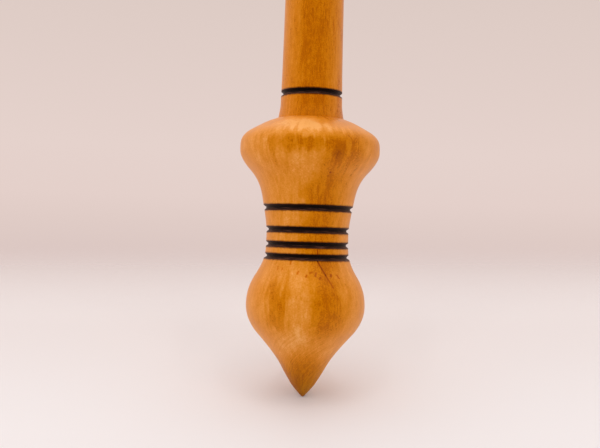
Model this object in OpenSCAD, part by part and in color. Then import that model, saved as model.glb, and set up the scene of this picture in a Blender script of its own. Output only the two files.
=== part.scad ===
// A hand spindle for spinning yarn, turned from a pale fruitwood.
// It stands point down on the origin, with its axis along +Z. All sizes are in millimetres.
// A knot of an outline is [height, radius, slope], where the slope is the change of radius with height.

/* [Overall] */
// Height from the point to the top of the shaft
total_h = 290; // [270:1:330]

/* [Base] */
// Height of the base, from the point to the flat face that the shaft's collar stands on
base_h = 63.1; // [62.5:0.1:64]
// Radius of the bead, the widest part
bead_r = 15.9; // [15:0.1:17.5]
// Height of the bead's widest line
bead_z = 55.8; // [55:0.1:56.5]
// Radius of the waist between the bead and the bulb
waist_r = 9.35; // [8.8:0.05:10]
// Height of the waist's thinnest line
waist_z = 36; // [35.5:0.1:36.5]
// Radius of the bulb above the point
bulb_r = 13.55; // [13:0.05:15]
// Height of the bulb's widest line
bulb_z = 20.8; // [20:0.1:21.5]
// Radius of the rounded end of the point
point_r = 0.6; // [0.4:0.05:0.8]

/* [Shaft] */
// Radius of the collar where it stands on the base
collar_r = 7.5; // [7.2:0.05:8]
// Width of the base's flat face that shows round the collar's foot
ledge_w = 0.3; // [0.1:0.05:0.5]
// Radius of the shaft just above its burnt line
shaft_r = 6.9; // [6.6:0.05:7.3]
// Radius of the neck under the top knob, where the yarn's hitch sits
neck_r = 1.7; // [1.3:0.05:2.2]
// Radius of the small knob that ends the shaft
knob_r = 2.4; // [2.3:0.05:3]

/* [Burnt lines] */
// Width of a burnt line across the wood's surface
line_w = 1.3; // [1:0.05:1.6]
// Depth of the open V of a burnt line
line_depth = 0.5; // [0.3:0.05:0.7]
// Thickness of the charred wood under the V
char_t = 0.2; // [0.1:0.05:0.3]
// Height of the burnt line round the shaft's collar
collar_line_z = 68.8; // [67.5:0.1:70]

/* [Glued joint] */
// Radius of the tenon at the foot of the shaft
tenon_r = 4; // [3:0.1:5]
// Length of the tenon below the collar
tenon_h = 20; // [12:0.5:24]
// Gap for glue round the tenon
glue_gap = 0.05; // [0.02:0.01:0.1]
// Room for glue between the tenon's end and the socket's floor
glue_room = 1; // [0.5:0.1:2]

/* [Hidden] */
round_fn = 96;      // facets of a preview's full circle
curve_steps = 9;    // steps along the curve between two knots
shortest_rise = 0.08;
point_arc = 48;     // degrees of the rounded point, from its lowest spot
line_floor = 0.3;   // width of the V's floor
knob_top_h = 2.5;   // height of the knob's rounded top
joint_z = base_h;   // the collar's foot and the base's flat face meet here
socket_r = tenon_r + glue_gap;
socket_floor_z = joint_z - tenon_h - glue_room;
char_wood = "#1c100b";

// Heights of the four burnt lines round the waist, the top one first
waist_line_z = [waist_z + 6.8, waist_z + 1.9, waist_z - 1.4, waist_z - 4.1];

// Outline of the base, from the end of the rounded point to the flat face
base_knots = [
    [point_r * (1 - cos(point_arc)), point_r * sin(point_arc), 1 / tan(point_arc)],
    [3.2, 2.95, 0.6],                           // the blunt point turns into the long cone
    [6.5, 4.9, 0.52],                            // straight side of the cone
    [bulb_z - 6.6, bulb_r - 2.8, 0.9],          // steepest swell
    [bulb_z, bulb_r, 0],
    [bulb_z + 6.7, bulb_r - 1.95, -0.63],
    [waist_z - 4.6, waist_r + 0.4, -0.28],      // lip of the lowest burnt line
    [waist_z, waist_r, -0.04],
    [waist_z + 8, waist_r + 0.95, 0.18],
    [bead_z - 4.7, bead_r - 2.6, 0.91],         // cove under the bead
    [bead_z, bead_r, 0],
    [bead_z + 4.8, bead_r - 2.75, -1.9],        // shoulder of the bead
    [base_h, collar_r + ledge_w, -3.2],
];

// Outline of the shaft, from the collar's foot to the top of the knob
shaft_knots = [
    [joint_z, collar_r, -0.15],
    [joint_z + 3.5, shaft_r + 0.12, -0.015],
    [joint_z + 12, shaft_r - 0.05, -0.01],
    [joint_z + 27, shaft_r - 0.2, -0.006],
    [total_h - 110, shaft_r - 1.4, -0.022],
    [total_h - 50, shaft_r - 3.3, -0.037],
    [total_h - 9, neck_r + 0.25, -0.05],
    [total_h - 5.8, neck_r, 0],                 // neck
    [total_h - knob_top_h, knob_r, 0],          // widest line of the knob
];

// Radius at height z on the cubic curve between the knots a and b
function between(a, b, z) =
    let (h = b[0] - a[0], t = (z - a[0]) / h)
    (2 * t ^ 3 - 3 * t ^ 2 + 1) * a[1] + (t ^ 3 - 2 * t ^ 2 + t) * h * a[2]
    + (3 * t ^ 2 - 2 * t ^ 3) * b[1] + (t ^ 3 - t ^ 2) * h * b[2];

// Radius at height z on the whole curve through a list of knots
function radius_at(knots, z, i = 0) =
    i == len(knots) - 2 || z <= knots[i + 1][0]
        ? between(knots[i], knots[i + 1], z)
        : radius_at(knots, z, i + 1);

// Points [radius, height] of the turned surface, from one height up to another
function turned(knots, from_z, to_z) =
    let (rises = [
        for (i = [0:len(knots) - 2], j = [0:curve_steps - 1])
        let (z = knots[i][0] + (knots[i + 1][0] - knots[i][0]) * j / curve_steps)
        if (z > from_z + shortest_rise && z < to_z - shortest_rise) z
    ])
    [for (z = concat(from_z, rises, to_z)) [radius_at(knots, z), z]];

// Floor of the deeper groove that holds the charred wood of the line at height z, from below
function groove_floor(knots, z) =
    let (r = radius_at(knots, z) - line_depth - char_t)
    [[r, z - line_floor], [r, z + line_floor]];

// The turned surface with a groove for each line; the lines' heights run upwards
function grooved(knots, from_z, to_z, lines, i = 0) =
    i == len(lines)
        ? turned(knots, from_z, to_z)
        : concat(
            turned(knots, from_z, lines[i] - line_w / 2),
            groove_floor(knots, lines[i]),
            grooved(knots, lines[i] + line_w / 2, to_z, lines, i + 1)
        );

// The rounded end of the point, up to the first knot of the base
function rounded_point() =
    [for (a = [0:8:point_arc - 8]) [point_r * sin(a), point_r * (1 - cos(a))]];

// The knob's top, a quarter of an ellipse from its widest line up to the axis
function rounded_knob() =
    [for (a = [10:10:90]) [knob_r * cos(a), total_h - knob_top_h * (1 - sin(a))]];

// The charred skin of one burnt line: an open V in a groove that it fills
module burn_line(knots, z) {
    half = line_w / 2;
    mid_r = radius_at(knots, z) - line_depth;
    low = [radius_at(knots, z - half), z - half];
    high = [radius_at(knots, z + half), z + half];
    lip = half - char_t / 2;
    color(char_wood)
    rotate_extrude($fn = round_fn)
    polygon(concat(
        [low],
        [[radius_at(knots, z - lip), z - lip]],
        [[mid_r, z - line_floor / 2], [mid_r, z + line_floor / 2]],
        [[radius_at(knots, z + lip), z + lip]],
        [high],
        [[mid_r - char_t, z + line_floor], [mid_r - char_t, z - line_floor]]
    ));
}

// Bead, waist, bulb and point in one piece, with the socket for the shaft bored down its axis
module base() {
    color("#d08a3a")
    rotate_extrude($fn = round_fn)
    polygon(concat(
        rounded_point(),
        grooved(base_knots, base_knots[0][0], base_h, [for (i = [3:-1:0]) waist_line_z[i]]),
        [[socket_r, joint_z], [socket_r, socket_floor_z], [0, socket_floor_z]]
    ));
}

// Tenon, collar, long tapered shaft and knob in one piece
module shaft() {
    color("#c47f38")
    rotate_extrude($fn = round_fn)
    polygon(concat(
        [[0, joint_z - tenon_h], [tenon_r, joint_z - tenon_h], [tenon_r, joint_z]],
        grooved(shaft_knots, joint_z, total_h - knob_top_h, [collar_line_z]),
        rounded_knob()
    ));
}

base();
shaft();
burn_line(shaft_knots, collar_line_z);  // collar_burn_line
for (i = [0:3])
    burn_line(base_knots, waist_line_z[i]);
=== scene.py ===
# A hand spindle of oiled fruitwood with burnt lines, standing on its point on a pale table.
import math
import bmesh
import bpy
from mathutils import Euler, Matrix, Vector


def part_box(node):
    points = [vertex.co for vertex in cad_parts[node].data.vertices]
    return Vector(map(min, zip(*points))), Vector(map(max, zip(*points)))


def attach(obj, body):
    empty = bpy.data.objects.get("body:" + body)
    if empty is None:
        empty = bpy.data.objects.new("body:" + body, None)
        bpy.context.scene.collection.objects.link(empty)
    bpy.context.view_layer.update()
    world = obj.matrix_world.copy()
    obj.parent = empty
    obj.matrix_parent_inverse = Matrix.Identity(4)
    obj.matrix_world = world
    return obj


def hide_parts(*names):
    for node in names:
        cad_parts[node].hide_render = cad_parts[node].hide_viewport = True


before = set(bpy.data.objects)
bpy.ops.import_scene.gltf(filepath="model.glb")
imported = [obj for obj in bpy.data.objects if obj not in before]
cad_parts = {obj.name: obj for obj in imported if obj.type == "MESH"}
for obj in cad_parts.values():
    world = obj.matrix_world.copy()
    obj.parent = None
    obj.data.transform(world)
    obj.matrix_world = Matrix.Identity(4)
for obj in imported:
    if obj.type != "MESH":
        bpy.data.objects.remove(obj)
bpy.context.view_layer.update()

mm = 0.001
weld = 1e-6     # m within which an outline's points become one
hair = 1e-7     # m within which they are one already

# the burnt lines' nodes, their heights and half of one's width, in mm
seats = {n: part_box(n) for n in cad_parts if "burn_line" in n}
lineHeights = sorted((low[2] + high[2]) / 2 / mm for low, high in seats.values())
lineHalf = max(high[2] - low[2] for low, high in seats.values()) / 2 / mm


# Small helpers
def linear(hexColour):
    # sRGB hex to the linear colour that the shaders take
    parts = [int(hexColour[i:i + 2], 16) / 255 for i in (1, 3, 5)]
    return tuple(c / 12.92 if c <= 0.04045 else ((c + 0.055) / 1.055) ** 2.4 for c in parts) + (1.0,)


def addNode(tree, kind, inputs, stops=(), **settings):
    # adds a node with its settings; an input is a value, an output, or a node,
    # which stands for its first output in use
    made = tree.nodes.new("ShaderNode" + kind)
    for name, value in settings.items():
        setattr(made, name, value)
    for name, value in inputs.items():
        if isinstance(value, bpy.types.Node):
            value = next(o for o in value.outputs if o.enabled)
        if isinstance(value, bpy.types.NodeSocket):
            tree.links.new(value, made.inputs[name])
        else:
            made.inputs[name].default_value = value
    for spot, level in stops[2:]:
        made.color_ramp.elements.new(spot)
    for i, (spot, level) in enumerate(stops):
        colour = linear(level) if isinstance(level, str) else (level, level, level, 1.0)
        made.color_ramp.elements[i].position = spot
        made.color_ramp.elements[i].color = colour
    return made


def newTree(name):
    material = bpy.data.materials.new(name)
    material.use_nodes = True
    material.node_tree.nodes.clear()
    return material, material.node_tree


# Outlines, cut from the turned CAD nodes
def outlineOf(node, straight=0.1):
    # the right half of the node's outline in the plane y = 0, in mm, walked from its lowest end;
    # bends under that many degrees are left out
    bm = bmesh.new()
    bm.from_mesh(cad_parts[node].data)
    bmesh.ops.remove_doubles(bm, verts=bm.verts, dist=weld)
    for normal, clearOuter in (((1, 0, 0), False), ((0, 1, 0), True)):
        bmesh.ops.bisect_plane(
            bm, geom=bm.verts[:] + bm.edges[:] + bm.faces[:], dist=hair, plane_co=(0, 0, 0),
            plane_no=normal, clear_inner=True, clear_outer=clearOuter)
    bmesh.ops.remove_doubles(bm, verts=bm.verts, dist=weld)
    onAxis = [e for e in bm.edges if all(v.co.x < weld for v in e.verts)]
    bmesh.ops.delete(bm, geom=onAxis, context="EDGES")
    bmesh.ops.dissolve_limit(bm, angle_limit=math.radians(straight), verts=bm.verts, edges=bm.edges)
    ends = [v for v in bm.verts if len(v.link_edges) == 1] or bm.verts[:]
    here = min(ends, key=lambda v: (round(v.co.z, 6), -v.co.x))
    edge = max(here.link_edges, key=lambda e: e.other_vert(here).co.x)
    points = [Vector((here.co.x, here.co.z)) / mm]
    while edge and len(points) < len(bm.verts):
        here = edge.other_vert(here)
        points.append(Vector((here.co.x, here.co.z)) / mm)
        edge = next((e for e in here.link_edges if e != edge), None)
    bm.free()
    return points


def smoothOutline(points, pitch, corner=25):
    # a curve through the points with a point every pitch mm, which keeps corners over that many degrees
    def isCorner(i):
        if i in (0, len(points) - 1):
            return True
        return math.degrees((points[i] - points[i - 1]).angle(points[i + 1] - points[i])) > corner

    def slope(i, along):
        if isCorner(i):
            return along
        return (points[i + 1] - points[i - 1]).normalized()

    fine = []
    for i in range(len(points) - 1):
        a, b = points[i], points[i + 1]
        span = (b - a).length
        fromA, toB = slope(i, (b - a).normalized()) * span, slope(i + 1, (b - a).normalized()) * span
        count = max(1, round(span / pitch))
        for t in (k / count for k in range(count)):
            fine.append(
                a * (2 * t**3 - 3 * t**2 + 1) + fromA * (t**3 - 2 * t**2 + t)
                + b * (3 * t**2 - 2 * t**3) + toB * (t**3 - t**2))
    return fine + [points[-1]]


def radiusAt(outline, z):
    # the outermost radius of an outline at one height
    found = 0
    for a, b in zip(outline, outline[1:]):
        if min(a.y, b.y) <= z <= max(a.y, b.y) and a.y != b.y:
            found = max(found, a.x + (b.x - a.x) * (z - a.y) / (b.y - a.y))
    return found


def turn(points, steps, closed=False):
    # spins an outline round the Z axis, as a lathe does
    bm = bmesh.new()
    verts = [bm.verts.new((p.x * mm, 0, p.y * mm)) for p in points]
    edges = [bm.edges.new(pair) for pair in zip(verts, verts[1:] + verts[:closed])]
    bmesh.ops.spin(
        bm, geom=verts + edges, cent=(0, 0, 0), axis=(0, 0, 1), dvec=(0, 0, 0),
        angle=2 * math.pi, steps=steps, use_merge=True, use_duplicate=False)
    bmesh.ops.remove_doubles(bm, verts=bm.verts, dist=hair)
    bmesh.ops.recalc_face_normals(bm, faces=bm.faces)
    return bm


def finishPiece(name, bm, material, node, sharpAngle):
    # a finished bmesh becomes the piece that stands for one CAD node;
    # its rise tells how far up the piece a point is, from 0 to 1
    mesh = bpy.data.meshes.new(name)
    rise = bm.verts.layers.float.new("rise")
    low, high = min(v.co.z for v in bm.verts), max(v.co.z for v in bm.verts)
    for v in bm.verts:
        v[rise] = (v.co.z - low) / (high - low)
    bm.to_mesh(mesh)
    bm.free()
    mesh.shade_smooth()
    mesh.set_sharp_from_angle(angle=math.radians(sharpAngle))
    mesh.materials.append(material)
    piece = bpy.data.objects.new(name, mesh)
    bpy.context.scene.collection.objects.link(piece)
    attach(piece, "root")
    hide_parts(node)
    print("made", name, len(mesh.polygons), "faces")
    return piece


# Oiled pear, turned and sanded: close upright grain that drinks the oil unevenly, under a satin skin
def oiledPear(name, look, outline):
    material, tree = newTree(name)
    place = addNode(tree, "TexCoord", {}).outputs["Object"]
    inMm = addNode(tree, "Mapping", {"Vector": place, "Scale": (1 / mm,) * 3})
    part = addNode(tree, "SeparateXYZ", {0: inMm}).outputs

    # the trunk's own grid, in which the grain sways a little
    sway = addNode(tree, "TexNoise", {"Vector": inMm, "Scale": 1 / look["swayLength"], "Detail": 1.0})
    sway = addNode(tree, "VectorMath", {0: sway.outputs["Color"], 1: (0.5, 0.5, 0.5)}, operation="SUBTRACT")
    sideways = (look["sway"], look["sway"], 0)
    trunk = addNode(tree, "VectorMath", {0: sway, 1: sideways, 2: inMm}, operation="MULTIPLY_ADD")

    # the sander's grid, which runs down the surface wherever it slopes
    flat = addNode(tree, "VectorMath", {0: inMm, 1: (1, 1, 0)}, operation="MULTIPLY")
    outward = addNode(tree, "VectorMath", {0: flat}, operation="NORMALIZE")
    skin = addNode(tree, "VectorMath", {0: outward, "Scale": look["skinRadius"]}, operation="SCALE")
    skin = addNode(tree, "VectorMath", {0: inMm, 1: (0, 0, 1), 2: skin}, operation="MULTIPLY_ADD")

    # the cone's grid, which winds round the axis as the last sanding of the cone did
    sanding = look["sanding"]
    wound = addNode(tree, "Math", {0: part["Z"], 1: -sanding["twist"]}, operation="MULTIPLY")
    wound = addNode(tree, "VectorRotate", {"Vector": skin, "Angle": wound}, rotation_type="Z_AXIS")

    # growth rings: flat bands across the trunk that take more or less oil
    across = addNode(tree, "VectorMath", {0: trunk, 1: look["ringNormal"]}, operation="DOT_PRODUCT")
    reach = look["reach"]
    band = addNode(tree, "MapRange", {"Value": across, "From Min": -reach, "From Max": reach})
    stops = [((spot + reach) / (2 * reach), level) for spot, level in look["rings"]]
    tone = addNode(tree, "ValToRGB", {"Fac": band}, stops)

    # layers of grain, each one noise drawn out along the wood
    height = 0.0
    levels = []
    for wide, long, strength, relief, grid in look["grain"]:
        scale = (1 / wide, 1 / wide, 1 / long)
        drawn = addNode(tree, "Mapping", {"Vector": trunk if grid == "trunk" else skin, "Scale": scale})
        layer = addNode(tree, "TexNoise", {"Vector": drawn, "Scale": 1.0, "Detail": 2.0, "Roughness": 0.6})
        level = addNode(tree, "Math", {0: layer, 1: 0.5}, operation="SUBTRACT")
        levels.append(level)
        tone = addNode(tree, "Math", {0: level, 1: strength, 2: tone}, operation="MULTIPLY_ADD")
        height = addNode(tree, "Math", {0: level, 1: relief, 2: height}, operation="MULTIPLY_ADD")

    # slanting scratches that the last sanding left on the cone
    scale = (1 / sanding["wide"], 1 / sanding["wide"], 1 / sanding["long"])
    drawn = addNode(tree, "Mapping", {"Vector": wound, "Scale": scale})
    scratch = addNode(tree, "TexNoise", {"Vector": drawn, "Scale": 1.0, "Detail": 2.0, "Roughness": 0.6})
    scratch = addNode(tree, "Math", {0: scratch, 1: 0.5}, operation="SUBTRACT")
    low = addNode(tree, "MapRange", {
        "Value": part["Z"], "From Min": sanding["from"], "From Max": sanding["to"],
        "To Min": sanding["strength"], "To Max": 0.0})
    tone = addNode(tree, "Math", {0: scratch, 1: low, 2: tone}, operation="MULTIPLY_ADD")

    # flecks: short pores that have filled with dark oil
    fleck = look["flecks"]
    scale = (1 / fleck["apart"], 1 / fleck["apart"], 1 / fleck["apart"] / fleck["stretch"])
    drawn = addNode(tree, "Mapping", {"Vector": trunk, "Scale": scale})
    cells = addNode(tree, "TexVoronoi", {"Vector": drawn, "Scale": 1.0, "Randomness": 1.0})
    pore = addNode(tree, "MapRange", {
        "Value": cells, "From Min": fleck["core"], "From Max": fleck["edge"], "To Min": 1.0, "To Max": 0.0})
    tone = addNode(tree, "Math", {0: pore, 1: -fleck["depth"], 2: tone}, operation="MULTIPLY_ADD")

    # marks that belong to this piece of wood, each a stroke between two spots of its front, in mm;
    # one layer of grain frays the broad ones, and the fine ones are redder than the wood round them
    streaks = addNode(tree, "Math", {0: levels[look["edgeLayer"]], 1: look["fray"]}, operation="MULTIPLY")
    fine = 0.0
    for start, end, wide, soft, change in look["marks"]:
        a, b = (Vector((x, -math.sqrt(radiusAt(outline, z) ** 2 - x * x), z)) for x, z in (start, end))
        stroke = b - a
        perMm = stroke / stroke.length_squared
        fromA = addNode(tree, "VectorMath", {0: inMm, 1: a}, operation="SUBTRACT")
        along = addNode(tree, "VectorMath", {0: fromA, 1: perMm}, operation="DOT_PRODUCT")
        along = addNode(tree, "Math", {0: along, 1: 1.0}, operation="MULTIPLY", use_clamp=True)
        nearest = addNode(tree, "VectorMath", {0: stroke, "Scale": along}, operation="SCALE")
        apart = addNode(tree, "VectorMath", {0: fromA, 1: nearest}, operation="DISTANCE")
        broad = soft > look["broadFrom"]
        if broad:
            apart = addNode(tree, "Math", {0: streaks, 1: soft, 2: apart}, operation="MULTIPLY_ADD")
        inside = addNode(tree, "MapRange", {
            "Value": apart, "From Min": wide / 2, "From Max": wide / 2 + soft,
            "To Min": change, "To Max": 0.0}, interpolation_type="SMOOTHSTEP")
        tone = addNode(tree, "Math", {0: tone, 1: inside}, operation="ADD")
        if not broad:
            fine = addNode(tree, "Math", {0: fine, 1: inside}, operation="ADD")

    darkest = look["tones"][0][0]
    depth = addNode(tree, "MapRange", {"Value": tone, "From Min": darkest})
    stops = [((spot - darkest) / (1 - darkest), colour) for spot, colour in look["tones"]]
    wood = addNode(tree, "ValToRGB", {"Fac": depth}, stops)
    red = addNode(tree, "Math", {0: fine, 1: -look["redness"]}, operation="MULTIPLY", use_clamp=True)

    # the point's grime, and the brown scorch beside each burnt line
    ragged = addNode(tree, "TexNoise", {"Vector": inMm, "Scale": 1 / look["raggedLength"], "Detail": 3.0})
    ragged = addNode(tree, "Math", {0: ragged, 1: 0.5}, operation="SUBTRACT")
    grime = look["grime"]
    worn = addNode(tree, "Math", {0: ragged, 1: grime["ragged"], 2: part["Z"]}, operation="MULTIPLY_ADD")
    dirt = addNode(tree, "MapRange", {
        "Value": worn, "From Min": grime["from"], "From Max": grime["to"],
        "To Min": grime["most"], "To Max": 0.0})
    gap = None
    for z in lineHeights:
        apart = addNode(tree, "Math", {0: part["Z"], 1: z}, operation="SUBTRACT")
        apart = addNode(tree, "Math", {0: apart}, operation="ABSOLUTE")
        gap = apart if gap is None else addNode(tree, "Math", {0: gap, 1: apart}, operation="MINIMUM")
    scorch = look["scorch"]
    gap = addNode(tree, "Math", {0: ragged, 1: scorch["ragged"], 2: gap}, operation="MULTIPLY_ADD")
    burnt = addNode(tree, "MapRange", {
        "Value": gap, "From Min": lineHalf, "From Max": lineHalf + scorch["width"],
        "To Min": 1.0, "To Max": 0.0})
    for share, colour in ((red, look["redder"]), (dirt, grime["colour"]), (burnt, scorch["colour"])):
        wood = addNode(tree, "Mix", {
            0: share, 6: wood, 7: linear(colour)}, data_type="RGBA", blend_type="MULTIPLY")

    # the satin skin: smoother where the wood has drunk more oil, worn near the point;
    # the grain can just be felt
    satin = addNode(tree, "MapRange", {
        "Value": tone, "From Min": look["oilTones"][0], "From Max": look["oilTones"][1],
        "To Min": look["roughness"][0], "To Max": look["roughness"][1]})
    satin = addNode(tree, "Math", {0: dirt, 1: grime["duller"], 2: satin}, operation="MULTIPLY_ADD")
    grooves = addNode(tree, "Bump", {"Height": height, "Distance": mm, "Strength": 1.0})
    shader = addNode(tree, "BsdfPrincipled", {
        "Base Color": wood, "Roughness": satin, "Normal": grooves, "IOR": look["ior"],
        "Specular IOR Level": look["gloss"], "Specular Tint": linear(look["glossTint"])})
    addNode(tree, "OutputMaterial", {"Surface": shader})
    return material


# Charred wood: the black skin that a hot wire leaves, with fine scratches along the line;
# its upper wall, which faces down, is painted darker as shade, so that the lower wall looks browner
def charredWood(name, look):
    material, tree = newTree(name)
    place = addNode(tree, "TexCoord", {}).outputs["Object"]
    rise = addNode(tree, "Attribute", {}, attribute_name="rise").outputs["Fac"]
    # painted shade: the tone falls higher up the line, on the wall that faces down
    black = addNode(tree, "MapRange", {
        "Value": rise, "From Min": look["upperShadeRise"][0], "From Max": look["upperShadeRise"][1],
        "To Min": 0.0, "To Max": -look["upperShade"]}, interpolation_type="SMOOTHSTEP")
    scale = (1 / mm / look["long"], 1 / mm / look["long"], 1 / mm / look["wide"])
    drawn = addNode(tree, "Mapping", {"Vector": place, "Scale": scale})
    scratch = addNode(tree, "TexNoise", {"Vector": drawn, "Scale": 1.0, "Detail": 3.0})
    tone = addNode(tree, "Math", {0: scratch, 1: black}, operation="ADD")
    char = addNode(tree, "ValToRGB", {"Fac": tone}, look["tones"])
    grooves = addNode(tree, "Bump", {"Height": scratch, "Distance": look["relief"] * mm, "Strength": 1.0})
    shader = addNode(tree, "BsdfPrincipled", {
        "Base Color": char, "Roughness": look["roughness"], "Normal": grooves, "IOR": look["ior"],
        "Specular IOR Level": look["gloss"], "Sheen Weight": look["sheen"],
        "Sheen Roughness": look["sheenRoughness"], "Sheen Tint": linear(look["sheenColour"])})
    addNode(tree, "OutputMaterial", {"Surface": shader})
    return material


# The two turned pieces and the charred skins of the burnt lines
lathe = {
    "pitch": 0.35,                      # mm between the base's rings
    "steps": 256,                       # facets round it and round the burnt lines
    "shaftPitch": 0.8,
    "shaftSteps": 128,
    "charPitch": 0.12,
    "sharpAngle": 40,                   # degrees over which an edge of the wood stays sharp
    "charSharpAngle": 60,
}
baseLook = {
    "sway": 1.6,                        # mm that the grain strays sideways
    "swayLength": 16,                   # mm over which it does
    "skinRadius": 10,                   # mm; the sander's grid takes the wood as a cylinder of this radius
    "ringNormal": (0.82, 0.57, 0),      # the rings lie across this direction
    "reach": 16,                        # mm from the axis that the rings are given for
    "rings": [
        (-16, 0.72), (-12.5, 0.62), (-8.4, 0.69), (-7.4, 0.66), (-6.0, 0.48), (-5.0, 0.39), (-3.8, 0.29),
        (-2.4, 0.26), (-1.2, 0.37), (0.0, 0.41), (1.2, 0.46), (2.4, 0.54), (3.2, 0.60), (4.6, 0.66),
        (6.0, 0.67), (9.0, 0.56), (12.0, 0.66), (16.0, 0.60)],
    # mm across, mm along, strength in tone, relief in mm, grid
    "grain": [
        (3.2, 34, 0.20, 0.0, "trunk"),      # broad figure
        (1.0, 9, 0.22, 0.01, "trunk"),      # streaks
        (0.8, 5, 0.44, 0.02, "skin"),       # streaks that the sanding drew down the slopes
        (3.0, 3.6, 0.28, 0.0, "skin"),      # clouds of oil
        (1.2, 1.8, 0.32, 0.0, "skin"),      # and the mottling within them
        (0.28, 0.28, 0.50, 0.012, "skin"),  # grit marks, coarser than the real ones so that they show
        (0.26, 1.4, 0.34, 0.012, "trunk"),  # fibres, coarser than the real ones so that they show
    ],
    # mm apart, length over width, a pore's core and edge as shares of that distance, change of tone
    "flecks": {"apart": 1.9, "stretch": 2.5, "core": 0.06, "edge": 0.12, "depth": 0.16},
    # radians of winding for each mm up, mm across and along, strength, heights between which it fades
    "sanding": {"twist": 0.14, "wide": 0.4, "long": 4.0, "strength": 0.7, "from": 11, "to": 20},
    "broadFrom": 1.0,                   # mm of softness that part the broad marks from the fine ones
    "edgeLayer": 2,                     # which grain frays the broad marks' edges
    "fray": 3.0,                        # how much, as a share of the softness
    "redness": 2.2,                     # how much redder the fine marks are
    "redder": "#ffdcc0",
    # from, to, width, softness, change of tone
    "marks": [
        ((2.3, 33.6), (2.4, 31.1), 0.06, 0.20, -0.42),      # the knot's fine dark line
        ((2.4, 31.1), (4.2, 28.2), 0.07, 0.24, -0.44),
        ((4.2, 28.2), (5.9, 25.6), 0.05, 0.30, -0.30),
        ((3.4, 31.0), (4.2, 30.0), 1.0, 1.6, -0.10),        # darker wood beside it
        ((-1.9, 28.4), (-1.7, 28.8), 0.10, 0.35, -0.45),    # flecks in a row round the bulb
        ((0.0, 27.8), (0.1, 28.1), 0.12, 0.30, -0.44),
        ((0.8, 28.6), (1.2, 28.8), 0.08, 0.36, -0.24),
        ((2.0, 28.0), (2.1, 28.6), 0.08, 0.34, -0.30),
        ((2.9, 27.4), (3.1, 27.7), 0.08, 0.30, -0.28),
        ((5.4, 28.0), (5.4, 28.3), 0.08, 0.34, -0.40),
        ((6.7, 28.2), (7.2, 27.6), 0.06, 0.34, -0.32),
        ((-3.5, 30.4), (-3.4, 30.9), 0.08, 0.32, -0.36),
        ((-5.3, 29.1), (-5.2, 29.4), 0.06, 0.32, -0.28),
        ((-6.3, 29.1), (-6.2, 29.6), 0.06, 0.32, -0.30),
        ((5.2, 55.6), (5.2, 52.6), 1.0, 2.0, 0.06),         # paler wood on the bead's right
        ((4.5, 50.4), (4.6, 50.5), 0.10, 0.20, -0.60),      # pin knot under the bead
        ((-6.4, 24.0), (-6.2, 18.5), 2.2, 2.6, -0.22),      # oil-soaked patches on the bulb's belly
        ((2.2, 24.5), (3.2, 19.0), 1.6, 2.4, -0.06),
        ((6.2, 23.5), (6.4, 18.0), 0.4, 1.6, -0.10),
        ((4.5, 14.6), (5.4, 11.6), 2.2, 2.2, 0.10),         # paler wood below the patches, a painted reflection of the pale table on the cone
        ((-3.4, 28.0), (-0.6, 27.0), 2.4, 2.6, 0.06),       # and above them
        ((-1.4, 47.2), (0.6, 44.8), 2.4, 2.0, -0.10),       # darker wood in the cove
        ((-7.5, 55.9), (-1.0, 56.4), 2.0, 1.8, -0.18),      # darker wood round the bead's belly, painted as shade: the dark band where the belly mirrors the tent's dim opening
        ((-1.0, 56.4), (5.5, 56.0), 1.6, 1.8, -0.17),
        ((8.0, 54.0), (11.8, 53.4), 2.4, 2.8, -0.16),
        ((-7.3, 52.0), (-5.6, 51.2), 0.8, 2.2, -0.14),
        ((-11.0, 55.4), (-9.2, 53.8), 1.6, 2.6, -0.08),
        ((-0.9, 25.0), (-0.5, 18.5), 1.4, 2.2, 0.04),       # a painted highlight: a pale column down the bulb's front, between the patches
        ((-1.4, 12.8), (4.4, 11.8), 3.4, 4.2, 0.17),        # paler wood on the cone, a painted reflection of the pale table
        ((0.4, 14.6), (1.2, 12.4), 0.8, 2.6, 0.13),
        ((-0.4, 0.2), (0.4, 0.2), 0.4, 1.2, -0.20),         # the dark end of the point
        ((-4.0, 52.0), (-2.6, 49.4), 2.6, 3.0, 0.04),       # paler wood under the bead
        ((-5.5, 60.8), (6.0, 60.6), 2.2, 3.0, 0.26),        # a painted highlight on the bead's shoulder, as paler wood, in two strokes
        ((-2.0, 60.2), (5.8, 59.4), 1.0, 2.6, 0.34),
    ],
    "tones": [
        (-0.4, "#662c00"), (-0.15, "#984400"), (0.05, "#b25e00"), (0.25, "#c66e00"), (0.40, "#d68000"),
        (0.50, "#de8812"), (0.75, "#ec9a3a"), (1.0, "#fcb868")],
    "raggedLength": 0.9,                # mm, how coarse the edges of the grime and the scorch are
    "grime": {"colour": "#cddf78", "ragged": 4.0, "from": 1.5, "to": 9.5, "most": 0.85, "duller": 0.35},
    "scorch": {"colour": "#6a4a30", "width": 0.35, "ragged": 0.35},
    "oilTones": (0.2, 0.8),             # from soaked wood to dry wood
    "roughness": (0.24, 0.46),          # at those tones
    "ior": 1.48,                        # linseed oil
    "gloss": 0.68,
    "glossTint": "#ffb648",             # the oil is amber
}
shaftLook = dict(
    baseLook,
    ringNormal=(0.9, -0.44, 0),
    rings=[
        (-16, 0.52), (-3.0, 0.52), (-1.1, 0.46), (0.3, 0.36), (1.4, 0.31), (2.5, 0.28), (4.2, 0.26),
        (5.3, 0.30), (6.0, 0.38), (6.7, 0.46), (6.8, 0.64), (6.95, 0.36), (16, 0.34)],
    grain=[
        (2.4, 34, 0.25, 0.0, "trunk"),
        (0.8, 9, 0.25, 0.01, "trunk"),
        (0.6, 5, 0.30, 0.02, "skin"),
        (3.0, 5.0, 0.25, 0.0, "skin"),
        (1.0, 1.4, 0.34, 0.0, "skin"),
        (0.24, 0.24, 0.64, 0.014, "skin"),
        (0.26, 1.6, 0.38, 0.012, "trunk"),
    ],
    marks=[],
)
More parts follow.
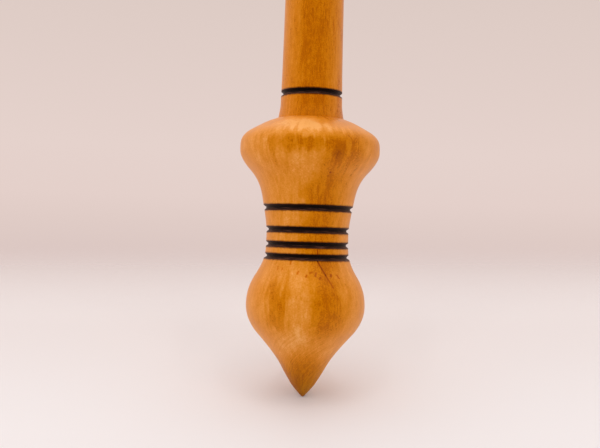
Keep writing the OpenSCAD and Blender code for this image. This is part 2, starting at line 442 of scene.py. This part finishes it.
charLook = {
    "long": 2.5,                        # mm along and across the scratches
    "wide": 0.16,
    "tones": [(0.1, "#060000"), (0.35, "#180804"), (0.52, "#321b13"), (0.72, "#6a473a")],
    "upperShadeRise": (0.36, 0.56),           # shares of the width, from below, between which the upper wall turns darker: painted shade, as that wall faces down
    "upperShade": 0.34,
    "relief": 0.05,                     # mm
    "roughness": 0.5,
    "ior": 1.45,
    "gloss": 0.12,
    "sheen": 0.35,                      # where the skin is seen aslant
    "sheenRoughness": 0.4,
    "sheenColour": "#c48c70",
}

baseOutline = smoothOutline(outlineOf("base"), lathe["pitch"])
shaftOutline = smoothOutline(outlineOf("shaft"), lathe["shaftPitch"])
baseWood = oiledPear("oiledPearBase", baseLook, baseOutline)
shaftWood = oiledPear("oiledPearShaft", shaftLook, shaftOutline)
charWood = charredWood("wireCharredWood", charLook)
turnedBase = turn(baseOutline, lathe["steps"])
finishPiece("turnedBase", turnedBase, baseWood, "base", lathe["sharpAngle"])
turnedShaft = turn(shaftOutline, lathe["shaftSteps"])
finishPiece("turnedShaft", turnedShaft, shaftWood, "shaft", lathe["sharpAngle"])
for node in sorted(seats):
    ring = turn(smoothOutline(outlineOf(node), lathe["charPitch"]), lathe["steps"], closed=True)
    finishPiece("char_" + node, ring, charWood, node, lathe["charSharpAngle"])

# Camera, at the photograph's angle; the spindle leans in it, so the camera rolls and the table tilts
view = {
    "eye": (0, -203.4, 37.4),           # mm from the point
    "centre": (-1.76, 0, 39.25),        # the spot in the axis' plane that the frame's centre shows
    "lens": 53.4,                       # mm
    "lean": 1.77,                       # degrees
    "nearest": 0.01,                    # m from the eye at which things start to show
}
camera = bpy.data.objects.new("camera", bpy.data.cameras.new("camera"))
bpy.context.scene.collection.objects.link(camera)
bpy.context.scene.camera = camera
camera.location = Vector(view["eye"]) * mm
aim = Vector(view["centre"]) - Vector(view["eye"])
turnTo = aim.to_track_quat("-Z", "Y").to_matrix()
roll = Euler((0, 0, math.radians(view["lean"]))).to_matrix()
camera.rotation_euler = (turnTo @ roll).to_euler()
camera.data.lens = view["lens"]
camera.data.clip_start = view["nearest"]
print("placed the camera")

# Table: white laminate with a faint shine; its ends fade into the tent, and from below it can't be seen
table = {
    "half": 2.0,                        # m
    "tilt": 10.6,                       # degrees; the spindle leans towards the camera too
    # painted light: the table is paler in front of the spindle, where its shade falls, than behind it
    "nearColour": "#ececef",
    "farColour": "#e5e1e2",
    "far": (-0.03, 0.06),               # m behind the spindle over which the colour changes
    "fade": (0.06, 0.175),              # m behind it over which the table fades
    "end": (0.16, 0.6),                 # m in front of it and beside it over which it does
    "roughness": 0.45,
    "gloss": 0.05,
}
bm = bmesh.new()
bmesh.ops.create_grid(bm, x_segments=1, y_segments=1, size=table["half"])
stand = Euler((math.radians(table["tilt"]), -math.radians(view["lean"]), 0)).to_matrix()
bmesh.ops.rotate(bm, cent=(0, 0, 0), matrix=stand, verts=bm.verts)
mesh = bpy.data.meshes.new("table")
bm.to_mesh(mesh)
bm.free()
floor = bpy.data.objects.new("table", mesh)
bpy.context.scene.collection.objects.link(floor)
laminate, tree = newTree("whiteLaminate")
place = addNode(tree, "TexCoord", {}).outputs["Object"]
part = addNode(tree, "SeparateXYZ", {0: place}).outputs
beside = addNode(tree, "Math", {0: part["X"]}, operation="ABSOLUTE")
ahead = addNode(tree, "Math", {0: part["Y"], 1: -1.0}, operation="MULTIPLY")
beside = addNode(tree, "Math", {0: beside, 1: ahead}, operation="MAXIMUM")
fades = {}
for name, distance in (("far", part["Y"]), ("fade", part["Y"]), ("end", beside)):
    fades[name] = addNode(tree, "MapRange", {
        "Value": distance, "From Min": table[name][0], "From Max": table[name][1]},
        interpolation_type="SMOOTHSTEP")
white = addNode(tree, "Mix", {
    0: fades["far"], 6: linear(table["nearColour"]), 7: linear(table["farColour"])}, data_type="RGBA")
laminateSkin = addNode(tree, "BsdfPrincipled", {
    "Base Color": white, "Roughness": table["roughness"], "Specular IOR Level": table["gloss"]})
under = addNode(tree, "NewGeometry", {}).outputs["Backfacing"]
unseen = addNode(tree, "Math", {0: fades["fade"], 1: fades["end"]}, operation="MAXIMUM")
unseen = addNode(tree, "Math", {0: unseen, 1: under}, operation="MAXIMUM")
beyond = addNode(tree, "BsdfTransparent", {})
mixed = addNode(tree, "MixShader", {0: unseen, 1: laminateSkin, 2: beyond})
addNode(tree, "OutputMaterial", {"Surface": mixed})
mesh.materials.append(laminate)
print("laid the table")

# Light: a pale tent with a wide, dimmer opening that the camera looks through
tent = {
    # sine of the height over the horizon, colour
    "stops": [
        (-0.03, "#dbc7c2"), (0.008, "#e0ccc6"), (0.036, "#e4d0ca"), (0.09, "#e5d2cc"), (0.26, "#ddcbc4"),
        (0.6, "#f8f0ec")],
    "lowest": -0.1,                     # the sine below which the colour stays the same
    "walls": 1.03,
    "toLeft": 0.12,                     # more light from the left wall, less from the right
    "openingShape": (0.75, 0, 1),       # wider than it is tall
    "openingEdge": (0.45, 0.75),        # sines from the opening's dark core to its edge
    "openingLevel": 0.35,
    "behind": (-0.1, 0.1),              # sines at which the half of the tent without an opening starts
    "foot": (-0.06, 0.06),              # sines at which the opening starts over the tent's pale floor
    "glowTowards": (0, 0.20, 0.98),     # a brighter patch of roof, which lights the bead's top from behind
    "glowEdge": (0.88, 0.98),           # cosines from its edge to its core
    "glow": 1.7,
}
world = bpy.data.worlds.new("tent")
bpy.context.scene.world = world
world.use_nodes = True
tree = world.node_tree
tree.nodes.clear()
towards = addNode(tree, "TexCoord", {}).outputs["Generated"]
part = addNode(tree, "SeparateXYZ", {0: towards}).outputs
rays = addNode(tree, "LightPath", {}).outputs
rise = addNode(tree, "MapRange", {"Value": part["Z"], "From Min": tent["lowest"]})
stops = [((spot - tent["lowest"]) / (1 - tent["lowest"]), colour) for spot, colour in tent["stops"]]
walls = addNode(tree, "ValToRGB", {"Fac": rise}, stops)
side = addNode(tree, "Math", {0: part["X"], 1: -tent["toLeft"], 2: tent["walls"]}, operation="MULTIPLY_ADD")
ahead = addNode(tree, "VectorMath", {0: towards, 1: tent["openingShape"]}, operation="MULTIPLY")
ahead = addNode(tree, "VectorMath", {0: ahead}, operation="LENGTH")
rim = addNode(tree, "MapRange", {
    "Value": ahead, "From Min": tent["openingEdge"][0], "From Max": tent["openingEdge"][1],
    "To Min": tent["openingLevel"], "To Max": 1.0}, interpolation_type="SMOOTHSTEP")
behind = addNode(tree, "MapRange", {
    "Value": part["Y"], "From Min": tent["behind"][0], "From Max": tent["behind"][1]})
rim = addNode(tree, "Math", {0: rim, 1: behind}, operation="MAXIMUM")
foot = addNode(tree, "MapRange", {
    "Value": part["Z"], "From Min": tent["foot"][0], "From Max": tent["foot"][1],
    "To Min": 1.0, "To Max": 0.0})
rim = addNode(tree, "Math", {0: rim, 1: foot}, operation="MAXIMUM")
overhead = addNode(tree, "VectorMath", {0: towards, 1: tent["glowTowards"]}, operation="DOT_PRODUCT")
glow = addNode(tree, "MapRange", {
    "Value": overhead, "From Min": tent["glowEdge"][0], "From Max": tent["glowEdge"][1],
    "To Min": 1.0, "To Max": tent["glow"]}, interpolation_type="SMOOTHSTEP")
lit = addNode(tree, "Math", {0: side, 1: rim}, operation="MULTIPLY")
lit = addNode(tree, "Math", {0: lit, 1: glow}, operation="MULTIPLY")
strength = addNode(tree, "Mix", {0: rays["Is Camera Ray"], 2: lit, 3: 1.0}, data_type="FLOAT")
cloth = addNode(tree, "Background", {"Color": walls, "Strength": strength})
addNode(tree, "OutputWorld", {"Surface": cloth})
print("put up the tent")

# A square frame of light strips in the tent's roof; where all four are hidden lies the point's small shadow
roof = {
    "centre": (0.0, -1.55, 2.12),       # m
    "half": 0.8,                        # m, half of the frame's side and of each strip
    "wide": 0.07,
    "watts": 4.0,                       # of one strip
    "colour": "#fff8f5",
}
centre = Vector(roof["centre"])
across = Vector((1, 0, 0))
backwards = centre.cross(across).normalized()
for name, u, v in (("left", -1, 0), ("right", 1, 0), ("front", 0, -1), ("back", 0, 1)):
    light = bpy.data.lights.new(name + "Strip", "AREA")
    light.shape = "RECTANGLE"
    light.size, light.size_y = (roof["wide"], 2 * roof["half"]) if u else (2 * roof["half"], roof["wide"])
    light.energy = roof["watts"]
    light.color = linear(roof["colour"])[:3]
    lamp = bpy.data.objects.new(light.name, light)
    lamp.location = centre + (across * u + backwards * v) * roof["half"]
    lamp.rotation_euler = (-centre).to_track_quat("-Z", "Y").to_euler()
    bpy.context.scene.collection.objects.link(lamp)
print("hung the strips")

bpy.context.scene.view_settings.view_transform = "Standard"
